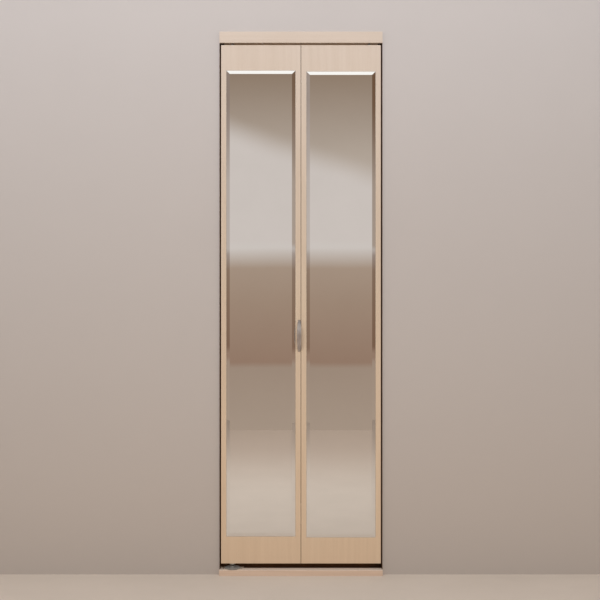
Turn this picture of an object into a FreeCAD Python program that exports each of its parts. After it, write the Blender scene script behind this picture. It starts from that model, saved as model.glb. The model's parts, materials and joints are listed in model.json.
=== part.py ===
import FreeCAD, Part
import os
import math
import Sketcher
from FreeCAD import Vector, Placement, Rotation

# Bifold closet door, 24 x 80 inch class, in millimetres.
# +Z is up, the room side is -Y, the closet side is +Y.
# Origin: middle of the opening's width, underside of the sill, in the plane of the pivots.
doc = FreeCAD.newDocument("bifold_closet_door")
sheet = doc.addObject("Spreadsheet::Sheet", "Dims")


# ---------------------------------------------------------------- driving dimensions
class Q:
    """A length that knows its value and the sheet expression that gives it."""

    def __init__(self, v, s):
        self.v = float(v)
        self.s = s

    def __add__(self, o):
        o = q(o)
        return Q(self.v + o.v, "(%s + %s)" % (self.s, o.s))

    def __radd__(self, o):
        return q(o) + self

    def __sub__(self, o):
        o = q(o)
        return Q(self.v - o.v, "(%s - %s)" % (self.s, o.s))

    def __rsub__(self, o):
        return q(o) - self

    def __mul__(self, o):
        o = q(o)
        return Q(self.v * o.v, "(%s * %s)" % (self.s, o.s))

    def __rmul__(self, o):
        return q(o) * self

    def __truediv__(self, o):
        o = q(o)
        return Q(self.v / o.v, "(%s / %s)" % (self.s, o.s))

    def __neg__(self):
        return Q(-self.v, "(0 - %s)" % self.s)


def q(x):
    return x if isinstance(x, Q) else Q(x, "%.6g" % x)


_row = [1]


def dim(alias, value, note):
    i = _row[0]
    _row[0] += 1
    sheet.set("A%d" % i, note)
    sheet.set("B%d" % i, "%.6g" % value)
    sheet.setAlias("B%d" % i, alias)
    return Q(value, "Dims.%s" % alias)


unit_half = dim("unit_half", 304.8, "half the opening width, 24 in")
unit_top = dim("unit_top", 2032.0, "overall height, 80 in")
sill_top = dim("sill_top", 21.0, "sill board thickness")
sill_front = dim("sill_front", 30.0, "sill edge in front of the pivot plane")
sill_back = dim("sill_back", 34.0, "sill edge behind the pivot plane")
lin_t = dim("lin_t", 2.0, "thickness of the dark liner channels")
low_t = dim("low_t", 1.0, "thickness of the low sill liner")
low_front = dim("low_front", 11.5, "front edge of the low sill liner, behind the pivot plane")
low_gap = dim("low_gap", 2.5, "gap between the pivot base plate and the low sill liner")
lin_front = dim("lin_front", 12.3, "liner front edge in front of the pivot plane")
lin_back = dim("lin_back", 36.0, "liner back face behind the pivot plane")
lin_return = dim("lin_return", 12.0, "return flange of the side liners")
fascia_t = dim("fascia_t", 9.5, "fascia thickness")
fascia_low = dim("fascia_low", 1990.0, "underside of the fascia")
trk_half = dim("trk_half", 12.0, "half width of the top track")
trk_t = dim("trk_t", 1.5, "sheet thickness of the top track")
trk_low = dim("trk_low", 1997.0, "lower edge of the track walls")
trk_end = dim("trk_end", 302.0, "half length of the top track")

pan_w = dim("pan_w", 298.1, "width of one panel")
pan_t = dim("pan_t", 28.6, "thickness of one panel, 1 1/8 in")
pan_low = dim("pan_low", 43.0, "underside of the panels")
pan_top = dim("pan_top", 1983.0, "top of the panels")
skin_t = dim("skin_t", 3.0, "veneered skin thickness")
seam_x = dim("seam_x", 0.0, "middle of the seam between the panels")
seam_gap = dim("seam_gap", 1.6, "gap between the panels")
stile_w = dim("stile_w", 60.0, "width of a stile")
toprail_h = dim("toprail_h", 130.0, "height of the top rail")
botrail_h = dim("botrail_h", 110.0, "height of the bottom rail")
dowel_b1 = dim("dowel_b1", 55.0, "lower dowel above the underside of the panel")
dowel_b2 = dim("dowel_b2", 90.0, "second dowel above the underside of the panel")
dowel_t1 = dim("dowel_t1", 85.0, "upper dowel below the top of the panel")
dowel_t2 = dim("dowel_t2", 115.0, "second dowel below the top of the panel")
core_gap = dim("core_gap", 0.4, "glue gap round the core board")
ease = dim("ease", 1.0, "eased front edges of the veneered pieces")

mir_w = dim("mir_w", 258.2, "mirror width")
mir_h = dim("mir_h", 1743.0, "mirror height")
mir_t = dim("mir_t", 5.0, "mirror thickness")
mir_edge = dim("mir_edge", 2.0, "mirror thickness left at the bevelled edge")
mir_bev = dim("mir_bev", 12.7, "width of the bevel")
mir_gap = dim("mir_gap", 0.3, "gap between mirror and window")
mir_low_l = dim("mir_low_l", 144.4, "bottom of the left mirror")
mir_low_r = dim("mir_low_r", 140.8, "bottom of the right mirror")
mastic_t = dim("mastic_t", 0.8, "thickness of the mastic")

piv_x = dim("piv_x", -256.5, "pivot axis")
guide_x = dim("guide_x", 256.5, "guide axis, the pivot mirrored in the seam")

fold_y = dim("fold_y", 18.4, "hinge axis behind the pivot plane")
leaf_w = dim("leaf_w", 30.0, "leaf width from the hinge axis")
leaf_t = dim("leaf_t", 1.8, "leaf thickness")
leaf_h = dim("leaf_h", 76.0, "leaf height")
knuckle_r = dim("knuckle_r", 3.8, "outer radius of the knuckles")
knuckle_bore = dim("knuckle_bore", 2.05, "bore radius of the knuckles")
hpin_r = dim("hpin_r", 2.0, "radius of the hinge pins")
knuckle_clear = dim("knuckle_clear", 0.35, "clearance between a leaf and the facing knuckles")
hinge_z1 = dim("hinge_z1", 223.0, "middle of the bottom hinge")
hinge_z2 = dim("hinge_z2", 1013.0, "middle of the middle hinge")
hinge_z3 = dim("hinge_z3", 1803.0, "middle of the top hinge")
hscrew_x = dim("hscrew_x", 18.0, "hinge screws from the hinge axis")
hscrew_z = dim("hscrew_z", 26.0, "hinge screw spacing")

wheel_r = dim("wheel_r", 29.5, "radius of the height adjuster wheel")
wheel_low = dim("wheel_low", 22.7, "underside of the wheel")
wheel_rim = dim("wheel_rim", 4.2, "height of the wheel rim")
wheel_hub_r = dim("wheel_hub_r", 8.0, "radius of the wheel hub")
wheel_hub_top = dim("wheel_hub_top", 32.0, "top of the wheel hub")
plate_t = dim("plate_t", 1.5, "base plate thickness")
plate_l = dim("plate_l", 78.0, "base plate length")
plate_d = dim("plate_d", 44.0, "base plate depth")
stud_r = dim("stud_r", 5.0, "threaded radius of the stud, M10")
stud_low = dim("stud_low", 6.0, "lower end of the stud")
shank_r = dim("shank_r", 4.0, "radius of all the pivot and guide shanks")
bush_bore = dim("bush_bore", 4.05, "bore radius that runs on a shank")
bush_r = dim("bush_r", 7.0, "outer radius of bushes and sleeves in the stiles")
sleeve_low = dim("sleeve_low", 1907.0, "closed lower end of the top sleeves")
plunge = dim("plunge", 15.0, "travel of the top pins")
brk_half = dim("brk_half", 24.0, "half length of the top pivot bracket")
brk_low = dim("brk_low", 2000.0, "underside of the top pivot bracket")
brk_top = dim("brk_top", 2018.0, "top of the top pivot bracket")
socket_r = dim("socket_r", 6.2, "outer radius of the nylon socket")
roller_r = dim("roller_r", 9.5, "radius of the guide roller")
roller_low = dim("roller_low", 2001.2, "underside of the guide roller")
roller_h = dim("roller_h", 10.0, "height of the guide roller")

pull_x = dim("pull_x", -6.5, "middle of the pull handle")
pull_z = dim("pull_z", 895.0, "middle of the pull handle")
pull_l = dim("pull_l", 120.0, "length of the pull")
pull_w = dim("pull_w", 16.0, "width of the pull")
pull_out = dim("pull_out", 24.0, "projection of the pull")
pull_t = dim("pull_t", 5.0, "thickness of the bow at its middle")
pull_bolt = dim("pull_bolt", 52.5, "bolts from the middle of the pull")
mount_hole_r = dim("mount_hole_r", 2.25, "radius of the empty fixing holes")
mount_y = dim("mount_y", 24.0, "fixing holes behind the pivot plane")
head_pitch = dim("head_pitch", 180.0, "pitch of the head fixing holes")
jamb_pitch = dim("jamb_pitch", 480.0, "pitch of the side fixing holes")
jamb_first = dim("jamb_first", 300.0, "lowest side fixing hole")
doc.recompute()

half_t = pan_t / 2
left_x0 = seam_x - seam_gap / 2 - pan_w
right_x0 = seam_x + seam_gap / 2

subparts = []


# ---------------------------------------------------------------- modelling helpers
def plane(body, role):
    return [f for f in body.Origin.OriginFeatures if f.Role == role][0]


def new_body(name, px=0, py=0, pz=0):
    b = doc.addObject("PartDesign::Body", name)
    b.Label = name
    px, py, pz = q(px), q(py), q(pz)
    b.Placement = Placement(Vector(px.v, py.v, pz.v), Rotation())
    b.setExpression("Placement.Base.x", px.s)
    b.setExpression("Placement.Base.y", py.s)
    b.setExpression("Placement.Base.z", pz.s)
    subparts.append(b)
    return b


def new_sketch(b, name, role, off=0):
    """Sketch on an origin plane of its own body. XY: (x, y). XZ: (x, z), normal -Y. YZ: (y, z), normal +X."""
    sk = b.newObject("Sketcher::SketchObject", name)
    sk.AttachmentSupport = [(plane(b, role), "")]
    sk.MapMode = "FlatFace"
    off = q(off)
    if role == "XZ_Plane":
        off = -off
    sk.AttachmentOffset = Placement(Vector(0, 0, off.v), Rotation())
    sk.setExpression("AttachmentOffset.Base.z", off.s)
    return sk


def _bind(sk, kind, gi, pos, val):
    c = sk.addConstraint(Sketcher.Constraint(kind, -1, 1, gi, pos, val.v))
    n = "c%d" % c
    sk.renameConstraint(c, n)
    sk.setExpression("Constraints." + n, val.s)


def fix_point(sk, gi, pos, x, y):
    x, y = q(x), q(y)
    if abs(x.v) < 1e-9:
        sk.addConstraint(Sketcher.Constraint("PointOnObject", gi, pos, -2))
    else:
        _bind(sk, "DistanceX", gi, pos, x)
    if abs(y.v) < 1e-9:
        sk.addConstraint(Sketcher.Constraint("PointOnObject", gi, pos, -1))
    else:
        _bind(sk, "DistanceY", gi, pos, y)


def poly(sk, pts):
    """Closed outline of straight edges, every corner bound to the sheet."""
    pts = [(q(a), q(b)) for a, b in pts]
    n = len(pts)
    base = sk.GeometryCount
    geo = []
    for i in range(n):
        a, b = pts[i], pts[(i + 1) % n]
        geo.append(Part.LineSegment(Vector(a[0].v, a[1].v, 0), Vector(b[0].v, b[1].v, 0)))
    sk.addGeometry(geo, False)
    for i in range(n):
        sk.addConstraint(Sketcher.Constraint("Coincident", base + i, 2, base + (i + 1) % n, 1))
    for i in range(n):
        fix_point(sk, base + i, 1, pts[i][0], pts[i][1])


def rect(sk, x0, x1, y0, y1):
    poly(sk, [(x0, y0), (x1, y0), (x1, y1), (x0, y1)])


def circle(sk, cx, cy, r):
    cx, cy, r = q(cx), q(cy), q(r)
    i = sk.addGeometry(Part.Circle(Vector(cx.v, cy.v, 0), Vector(0, 0, 1), r.v), False)
    fix_point(sk, i, 3, cx, cy)
    c = sk.addConstraint(Sketcher.Constraint("Radius", i, r.v))
    n = "c%d" % c
    sk.renameConstraint(c, n)
    sk.setExpression("Constraints." + n, r.s)


def pad(b, sk, length, name, reverse=False, mid=False):
    f = b.newObject("PartDesign::Pad", name)
    f.Profile = sk
    length = q(length)
    f.Length = length.v
    f.setExpression("Length", length.s)
    if mid:
        f.Midplane = True
    f.Reversed = reverse
    return f


def pocket(b, sk, length, name, reverse=False):
    """length None cuts through everything, both ways."""
    doc.recompute()
    before = b.Shape.Volume
    f = b.newObject("PartDesign::Pocket", name)
    f.Profile = sk
    if length is None:
        f.Length = 3000
        f.Midplane = True
    else:
        length = q(length)
        f.Length = length.v
        f.setExpression("Length", length.s)
        f.Reversed = reverse
    doc.recompute()
    if length is not None and b.Shape.Volume > before - 1e-3:
        # the sketch faces the other way: turn the cut towards the solid
        f.Reversed = not reverse
        doc.recompute()
    if b.Shape.Volume > before - 1e-3:
        raise RuntimeError("pocket %s in %s cuts nothing" % (name, b.Label))
    return f


def revolve(b, pts, name, role="XZ_Plane"):
    """Turned solid: pts are (radius, height) round the body's own Z axis."""
    sk = new_sketch(b, name + "_profile", role)
    poly(sk, pts)
    f = b.newObject("PartDesign::Revolution", name)
    f.Profile = sk
    f.ReferenceAxis = ([o for o in b.Origin.OriginFeatures if o.Role == "Z_Axis"][0], [""])
    f.Angle = 360
    return f


def edge_names(feature, test):
    doc.recompute()
    return ["Edge%d" % (i + 1) for i, e in enumerate(feature.Shape.Edges) if test(e)]


def fillet(b, feature, names, r, name):
    f = b.newObject("PartDesign::Fillet", name)
    f.Base = (feature, names)
    r = q(r)
    f.Radius = r.v
    f.setExpression("Radius", r.s)
    return f


def chamfer(b, feature, names, r, name):
    f = b.newObject("PartDesign::Chamfer", name)
    f.Base = (feature, names)
    r = q(r)
    f.Size = r.v
    f.setExpression("Size", r.s)
    return f


def block(name, x0, x1, y0, y1, z0, z1):
    """Rectangular piece: its own origin is its low corner."""
    b = new_body(name, x0, y0, z0)
    sk = new_sketch(b, name + "_outline", "XY_Plane")
    rect(sk, 0, q(x1) - x0, 0, q(y1) - y0)
    p = pad(b, sk, q(z1) - z0, name + "_pad")
    return b, p


def feature(name, shape, pos=(0, 0, 0)):
    """A piece whose shape comes from Part's own functions."""
    f = doc.addObject("Part::Feature", name)
    f.Label = name
    f.Shape = shape
    f.Placement = Placement(Vector(*pos), Rotation())
    subparts.append(f)
    return f


def cyl(r, h, base, axis):
    return Part.makeCylinder(r, h, Vector(*base), Vector(*axis))


def screw(head_r, head_h, shank_r_, length, flat=False, recess=True):
    """Screw along -Z: the underside of a pan head, or the top of a flat head, is at z = 0."""
    if flat:
        prof = [(0, 0), (head_r, 0), (shank_r_, -head_h), (shank_r_, -length + 3), (0.4, -length), (0, -length)]
        top = 0.0
    else:
        prof = [(0, head_h), (head_r * 0.62, head_h), (head_r * 0.92, head_h * 0.55), (head_r, 0), (shank_r_, 0),
                (shank_r_, -length + 3), (0.4, -length), (0, -length)]
        top = head_h
    w = Part.makePolygon([Vector(a, 0, c) for a, c in prof] + [Vector(prof[0][0], 0, prof[0][1])])
    s = Part.Face(w).revolve(Vector(0, 0, 0), Vector(0, 0, 1), 360)
    s = Part.Solid(s) if s.ShapeType != "Solid" else s
    if recess:
        d = head_h * 0.6
        a = Part.makeBox(head_r * 1.05, head_r * 0.2, d, Vector(-head_r * 0.525, -head_r * 0.1, top - d))
        c = Part.makeBox(head_r * 0.2, head_r * 1.05, d, Vector(-head_r * 0.1, -head_r * 0.525, top - d))
        s = s.cut(a.fuse(c))
        s = s.Solids[0]
    return s


def placed(shape, x, y, z, direction):
    """Copy with its +Z turned to the given direction."""
    c = shape.copy()
    c.Placement = Placement(Vector(x, y, z), Rotation(Vector(0, 0, 1), Vector(*direction)))
    return c


# ---------------------------------------------------------------- head: fascia, channel, track
fascia, fp = block("header_fascia", -unit_half, unit_half, -(lin_front + fascia_t), -lin_front, fascia_low, unit_top)
fe = edge_names(fp, lambda e: abs(e.BoundBox.YMax) < 1e-6 and e.BoundBox.XLength > 100)
fp = fillet(fascia, fp, fe, ease, "fascia_eased_edges")
fs = new_sketch(fascia, "fascia_pilot_holes", "XZ_Plane", fascia_t)
for k in (-3, -1, 1, 3):
    circle(fs, unit_half + 70 * k, q(2020) - fascia_low, 1.8)
pocket(fascia, fs, 7.5, "fascia_pilots", reverse=False)

headc = new_body("head_channel", 0, 0, unit_top - lin_t)
hs = new_sketch(headc, "head_web_outline", "XY_Plane")
rect(hs, -unit_half, unit_half, -lin_front, lin_back)
pad(headc, hs, lin_t, "head_web")
hs = new_sketch(headc, "head_flange_outline", "XY_Plane")
rect(hs, -(unit_half - lin_t - lin_return - 0.3), unit_half - lin_t - lin_return - 0.3, lin_back - lin_t, lin_back)
pad(headc, hs, unit_top - lin_t - fascia_low, "head_flange", reverse=True)
hs = new_sketch(headc, "head_fixing_holes", "XY_Plane")
for k in (-1.5, -0.5, 0.5, 1.5):
    circle(hs, head_pitch * k, mount_y, mount_hole_r)
for k in (-2, -1, 0, 1, 2):
    circle(hs, q(112.5) * k, 0, 2.1)
pocket(headc, hs, None, "head_fixings")

track = new_body("top_track", -trk_end, 0, 0)
ts = new_sketch(track, "track_profile", "YZ_Plane")
ti = trk_half - trk_t
tt = unit_top - lin_t
poly(ts, [(-trk_half, trk_low), (-ti, trk_low), (-ti, tt - trk_t), (ti, tt - trk_t), (ti, trk_low), (trk_half, trk_low),
          (trk_half, tt), (-trk_half, tt)])
pad(track, ts, trk_end * 2, "track_pad")
ts = new_sketch(track, "track_rivet_holes", "XY_Plane", tt)
for k in (-2, -1, 0, 1, 2):
    circle(ts, trk_end + q(112.5) * k, 0, 2.1)
pocket(track, ts, 5, "track_rivet_cut")
ts = new_sketch(track, "track_screw_holes", "XZ_Plane", -trk_half)
for k in (-3, -1, 1, 3):
    circle(ts, trk_end + 70 * k, 2020, 1.9)
pocket(track, ts, 3, "track_screw_cut", reverse=False)

rivets = []
for k in (-2, -1, 0, 1, 2):
    c = cyl(2.0, 3.9, (112.5 * k, 0, unit_top.v - 3.7), (0, 0, 1))
    h = Part.makeCone(2.6, 4.2, 1.2, Vector(112.5 * k, 0, unit_top.v - 3.5 - 1.2), Vector(0, 0, 1))
    t = c.fuse(h).removeSplitter()
    # the upset end stays inside the channel's own thickness
    t = t.cut(Part.makeBox(20, 20, 5, Vector(112.5 * k - 10, -10, unit_top.v - 0.1)))
    rivets.append(t.Solids[0])
feature("track_rivets", Part.makeCompound(rivets))

fsc = screw(3.4, 1.7, 1.7, 8.2)
feature("fascia_screws", Part.makeCompound(
    [placed(fsc, 70.0 * k, -ti.v, 2020, (0, 1, 0)) for k in (-3, -1, 1, 3)]))

brk, bp = block("top_pivot_bracket", piv_x - brk_half, piv_x + brk_half, -(ti - 0.2), ti - 0.2, brk_low, brk_top)
bs = new_sketch(brk, "bracket_holes", "XY_Plane", brk_top - brk_low)
circle(bs, brk_half, ti - 0.2, socket_r + 0.05)
circle(bs, brk_half * 2 - 7, ti - 0.2, 2.55)
pocket(brk, bs, 40, "bracket_bores")

sock = new_body("top_pivot_socket", piv_x, 0, brk_low)
revolve(sock, [(bush_bore, 1.2), (bush_bore, 17.0), (socket_r, 17.0), (socket_r, 0), (bush_bore + 1.2, 0)], "socket_turned")

ls = Part.makeCylinder(2.45, 25.2, Vector(0, 0, 0))
hexa = Part.Face(Part.makePolygon([Vector(1.45 * math.cos(math.radians(60 * i)), 1.45 * math.sin(math.radians(60 * i)), 0)
                                   for i in range(7)])).extrude(Vector(0, 0, 3))
ls = ls.cut(hexa).Solids[0]
feature("top_bracket_lock_screw", ls, (piv_x.v + brk_half.v - 7, 0, 2003.2))

# ---------------------------------------------------------------- side liners
for side, sg in (("left", -1), ("right", 1)):
    jb = new_body(side + "_jamb_liner", 0, 0, sill_top)
    js = new_sketch(jb, side + "_liner_profile", "XY_Plane")
    poly(js, [(sg * unit_half, -lin_front), (sg * (unit_half - lin_t), -lin_front),
              (sg * (unit_half - lin_t), lin_back), (sg * unit_half, lin_back)])
    pad(jb, js, unit_top - lin_t - sill_top, side + "_liner_pad")
    js = new_sketch(jb, side + "_liner_holes", "YZ_Plane", sg * (unit_half - lin_t - 1))
    for k in range(4):
        circle(js, mount_y, jamb_first + jamb_pitch * k - sill_top, mount_hole_r)
    pocket(jb, js, 8, side + "_liner_cut", reverse=(sg > 0))

# rear edge returns, one down each side behind the panels
ret_in = (unit_half - lin_t - lin_return).v
feature("side_return_strips", Part.makeCompound(
    [Part.makeBox(lin_return.v, lin_t.v, (unit_top - lin_t - sill_top).v, Vector(x0, (lin_back - lin_t).v, sill_top.v))
     for x0 in (-ret_in - lin_return.v, ret_in)]))

# ---------------------------------------------------------------- sill
sill, sp = block("sill_board", -unit_half, unit_half, -sill_front, sill_back, 0, sill_top)
se = edge_names(sp, lambda e: abs(e.BoundBox.YMax) < 1e-6 and e.BoundBox.XLength > 100 and e.BoundBox.ZMin > 1)
sp = fillet(sill, sp, se, 1.6, "sill_eased_edge")
ss = new_sketch(sill, "sill_stud_bore", "XY_Plane", sill_top)
circle(ss, piv_x + unit_half, sill_front, 6.0)
pocket(sill, ss, 19.0, "sill_stud_cut")
ss = new_sketch(sill, "sill_plate_pilots", "XY_Plane", sill_top)
for dx in (-33.5, 33.5):
    for dy in (-13, 13):
        circle(ss, piv_x + unit_half + dx, sill_front + dy, 1.6)
pocket(sill, ss, 15.0, "sill_pilot_cut")
ss = new_sketch(sill, "sill_back_pilots", "XZ_Plane", sill_back + sill_front)
for k in (-1.5, -0.5, 0.5, 1.5):
    circle(ss, unit_half + 160 * k, 10.5, 1.6)
pocket(sill, ss, 15.0, "sill_back_pilot_cut", reverse=False)

strip, stp = block("sill_back_strip", -(unit_half - lin_t - lin_return - 0.3), unit_half - lin_t - lin_return - 0.3,
                   sill_back, sill_back + lin_t, 0, 34.5)
ss = new_sketch(strip, "strip_holes", "XZ_Plane", lin_t)
for k in (-1.5, -0.5, 0.5, 1.5):
    circle(ss, unit_half - lin_t - lin_return - 0.3 + 160 * k, 10.5, 1.9)
pocket(strip, ss, 6, "strip_hole_cut", reverse=False)
sa = screw(3.6, 1.9, 1.55, 14.0)
feature("sill_strip_screws", Part.makeCompound(
    [placed(sa, 160.0 * k, sill_back.v + lin_t.v, 10.5, (0, 1, 0)) for k in (-1.5, -0.5, 0.5, 1.5)]))

# low liner on the sill under the panels, beside the pivot plate
low_x0 = piv_x + plate_l / 2 + low_gap
low_b, low_p = block("sill_liner_strip", low_x0, unit_half - lin_t - 0.3, low_front, sill_back - 0.2, sill_top, sill_top + low_t)
le = edge_names(low_p, lambda e: e.BoundBox.XLength > 100 and e.BoundBox.ZMin > low_t.v - 1e-4)
low_p = fillet(low_b, low_p, le, 0.3, "low_liner_eased")

bpl, bpp = block("pivot_base_plate", piv_x - plate_l / 2, piv_x + plate_l / 2, -plate_d / 2, plate_d / 2, sill_top, sill_top + plate_t)
be = edge_names(bpp, lambda e: abs(e.BoundBox.ZLength - plate_t.v) < 1e-4)
bpp = fillet(bpl, bpp, be, 6.0, "plate_round_corners")
bs = new_sketch(bpl, "plate_holes", "XY_Plane", plate_t)
circle(bs, plate_l / 2, plate_d / 2, 5.4)
for dx in (-33.5, 33.5):
    for dy in (-13, 13):
        circle(bs, plate_l / 2 + dx, plate_d / 2 + dy, 1.9)
pocket(bpl, bs, 5, "plate_hole_cut")
ps = screw(3.2, 1.7, 1.55, 14.0)
feature("pivot_plate_screws", Part.makeCompound(
    [placed(ps, piv_x.v + dx, dy, sill_top.v + plate_t.v, (0, 0, 1)) for dx in (-33.5, 33.5) for dy in (-13, 13)]))

# ---------------------------------------------------------------- bottom pivot: adjuster wheel and stud
wh = new_body("height_adjuster_wheel", piv_x, 0, wheel_low)
hub_h = wheel_hub_top - wheel_low
wr = revolve(wh, [(stud_r + 0.05, 0), (wheel_r - 0.8, 0), (wheel_r, 0.8), (wheel_r, wheel_rim - 0.8), (wheel_r - 0.8, wheel_rim),
                  (wheel_r - 4.2, wheel_rim), (wheel_r - 6.2, wheel_rim - 1.4), (wheel_hub_r + 2.2, wheel_rim - 1.4),
                  (wheel_hub_r, wheel_rim + 0.4), (wheel_hub_r, hub_h - 0.8), (wheel_hub_r - 0.8, hub_h), (stud_r + 0.05, hub_h)],
             "wheel_turned")
ks = new_sketch(wh, "knurl_notch", "XY_Plane", wheel_rim + 1)
circle(ks, wheel_r + 1.0, 0, 1.6)
kp = pocket(wh, ks, 8, "knurl_cut")
pp = wh.newObject("PartDesign::PolarPattern", "knurl_pattern")
pp.Originals = [kp]
pp.Axis = ([o for o in wh.Origin.OriginFeatures if o.Role == "Z_Axis"][0], [""])
pp.Angle = 360
pp.Occurrences = 48
wh.Tip = pp
doc.recompute()

st = new_body("bottom_pivot_stud", piv_x, 0, stud_low)


def zl(z):
    return q(z) - stud_low


prof = [(0, 0), (stud_r - 1, 0), (stud_r, 1)]
z = 26.2
prof.append((stud_r, zl(z)))
# thread crests above the wheel hub
while z < 35.0:
    prof.append((stud_r - 0.65, zl(z + 0.6)))
    prof.append((stud_r, zl(z + 1.2)))
    z += 1.2
prof += [(stud_r, zl(36.6)), (stud_r + 2.0, zl(36.6)), (stud_r + 2.3, zl(36.9)), (stud_r + 2.3, zl(39.1)), (stud_r + 2.0, zl(39.4)),
         (shank_r, zl(39.4)), (shank_r, zl(73.5)), (shank_r - 1.2, zl(75)), (0, zl(75))]
revolve(st, prof, "stud_turned")


# ---------------------------------------------------------------- panels
def panel(side, x0, mir_low, outer_at_left, ax):
    """A veneered bifold panel: frame of stiles and rails, core board, two skins, bevelled mirror in a window."""
    y_f = -half_t
    y_b = half_t
    y_fi = skin_t - half_t
    y_bi = half_t - skin_t
    h = pan_top - pan_low
    out = {}

    # front skin with the window that the mirror sits in
    b, p = block(side + "_front_skin", x0, x0 + pan_w, y_f, y_fi, pan_low, pan_top)
    ee = edge_names(p, lambda e: abs(e.BoundBox.YMax) < 1e-6)
    p = fillet(b, p, ee, ease, side + "_skin_eased")
    w = new_sketch(b, side + "_window", "XZ_Plane", skin_t)
    mx = pan_w / 2 - mir_w / 2
    rect(w, mx - mir_gap, mx + mir_w + mir_gap, mir_low - pan_low - mir_gap, mir_low - pan_low + mir_h + mir_gap)
    pocket(b, w, None, side + "_window_cut")
    out["front"] = b

    b, p = block(side + "_back_skin", x0, x0 + pan_w, y_bi, y_b, pan_low, pan_top)
    ee = edge_names(p, lambda e: abs(e.BoundBox.YMin - skin_t.v) < 1e-6)
    p = fillet(b, p, ee, 0.6, side + "_back_eased")
    out["back"] = b

    for nm, sx0, is_outer in ((side + "_outer_stile", x0 if outer_at_left else x0 + pan_w - stile_w, True),
                              (side + "_inner_stile", x0 + pan_w - stile_w if outer_at_left else x0, False)):
        b, p = block(nm, sx0, sx0 + stile_w, y_fi, y_bi, pan_low, pan_top)
        out["outer" if is_outer else "inner"] = (b, sx0)
        # dowel holes towards the rails
        facing = stile_w if (sx0.v < x0.v + 10) else q(0)
        s = new_sketch(b, nm + "_dowel_holes", "YZ_Plane", facing)
        for zz in (dowel_b1, dowel_b2, h - dowel_t1, h - dowel_t2):
            circle(s, half_t - skin_t, zz, 4.0)
        pocket(b, s, 25.5, nm + "_dowel_cut", reverse=(facing.v < 1))
    for nm, z0, z1, zs in ((side + "_top_rail", pan_top - toprail_h, pan_top, (toprail_h - dowel_t1, toprail_h - dowel_t2)),
                           (side + "_bottom_rail", pan_low, pan_low + botrail_h, (dowel_b1, dowel_b2))):
        b, p = block(nm, x0 + stile_w, x0 + pan_w - stile_w, y_fi, y_bi, z0, z1)
        for tag, off, rev in (("a", q(0), True), ("b", pan_w - stile_w * 2, False)):
            s = new_sketch(b, nm + "_dowel_holes_" + tag, "YZ_Plane", off)
            for zz in zs:
                circle(s, half_t - skin_t, zz, 4.0)
            pocket(b, s, 25.5, nm + "_dowel_cut_" + tag, reverse=rev)
    b, p = block(side + "_core_board", x0 + stile_w + core_gap, x0 + pan_w - stile_w - core_gap, y_fi, y_bi,
                 pan_low + botrail_h + core_gap, pan_top - toprail_h - core_gap)

    # bevelled mirror: flat slab, then the ground bevel
    b = new_body(side + "_mirror", x0 + mx, y_fi - mastic_t, mir_low)
    s = new_sketch(b, side + "_mirror_outline", "XZ_Plane")
    rect(s, 0, mir_w, 0, mir_h)
    pad(b, s, mir_edge, side + "_mirror_slab")
    s1 = new_sketch(b, side + "_bevel_outer", "XZ_Plane", -mir_edge)
    rect(s1, 0, mir_w, 0, mir_h)
    s2 = new_sketch(b, side + "_bevel_inner", "XZ_Plane", -mir_t)
    rect(s2, mir_bev, mir_w - mir_bev, mir_bev, mir_h - mir_bev)
    lf = b.newObject("PartDesign::AdditiveLoft", side + "_bevel")
    lf.Profile = s1
    lf.Sections = [s2]
    lf.Ruled = True
    doc.recompute()

    pads = []
    for i in range(9):
        for j in (-1, 1):
            cz = mir_low.v + mir_h.v * (i + 0.5) / 9
            cx = x0.v + pan_w.v / 2 + j * 62
            pads.append(cyl(17, mastic_t.v, (cx, y_fi.v - mastic_t.v, cz), (0, 1, 0)))
    feature(side + "_mirror_mastic", Part.makeCompound(pads))

    dw = []
    for jx in (x0.v + stile_w.v, x0.v + pan_w.v - stile_w.v):
        for zz in (pan_low.v + dowel_b1.v, pan_low.v + dowel_b2.v, pan_top.v - dowel_t1.v, pan_top.v - dowel_t2.v):
            dw.append(Part.makeCylinder(3.95, 50, Vector(jx - 25, 0, zz), Vector(1, 0, 0)))
    feature(side + "_dowels", Part.makeCompound(dw))
    return out


L = panel("left", left_x0, mir_low_l, True, piv_x)
R = panel("right", right_x0, mir_low_r, False, guide_x)

hinge_zs = (hinge_z1, hinge_z2, hinge_z3)


def bore_z(b, sx0, cx, r, depth, at_top, name):
    """Vertical bore into an end of a stile."""
    h = pan_top - pan_low
    s = new_sketch(b, name + "_circle", "XY_Plane", h if at_top else 0)
    circle(s, cx - sx0, half_t - skin_t, r)
    pocket(b, s, depth, name, reverse=not at_top)


lo, lo_x = L["outer"]
bore_z(lo, lo_x, piv_x, bush_r + 0.05, 40.3, False, "bottom_bush_bore")
bore_z(lo, lo_x, piv_x, bush_r + 0.05, pan_top - sleeve_low + 0.3, True, "top_sleeve_bore")
ro, ro_x = R["outer"]
bore_z(ro, ro_x, guide_x, bush_r + 0.05, pan_top - sleeve_low + 0.3, True, "guide_sleeve_bore")

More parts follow.
